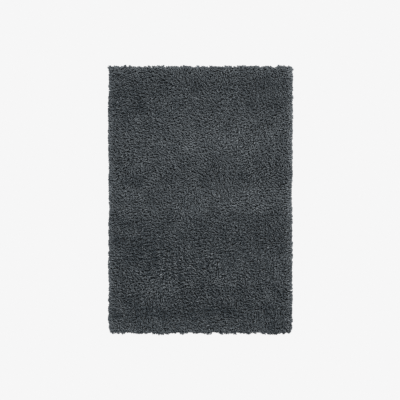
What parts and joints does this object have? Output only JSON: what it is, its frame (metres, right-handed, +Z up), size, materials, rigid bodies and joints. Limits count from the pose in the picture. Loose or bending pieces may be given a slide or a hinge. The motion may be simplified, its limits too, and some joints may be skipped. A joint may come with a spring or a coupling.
{
  "type": "shag rug",
  "caption": "High-pile shag rug in charcoal yarn, a long rectangle with rounded corners, lying flat, with locks at its rim.",
  "frame": {"origin": "on the floor under the middle of the rug's bounding box", "axes": "+Y along the rug's length, towards the end at the top of the picture; +X across it, to the right in the picture; +Z up, out of the pile"},
  "size_m": [1.3638, 1.9926, 0.0412],
  "materials": {
    "pile_yarn": "matt twisted pile yarn in mixed charcoal greys",
    "ground_cloth": "plain woven ground cloth with bound yarn backs"
  },
  "bodies": {
    "root": {"shag_rug": "pile_yarn"}
  },
  "joints": []
}
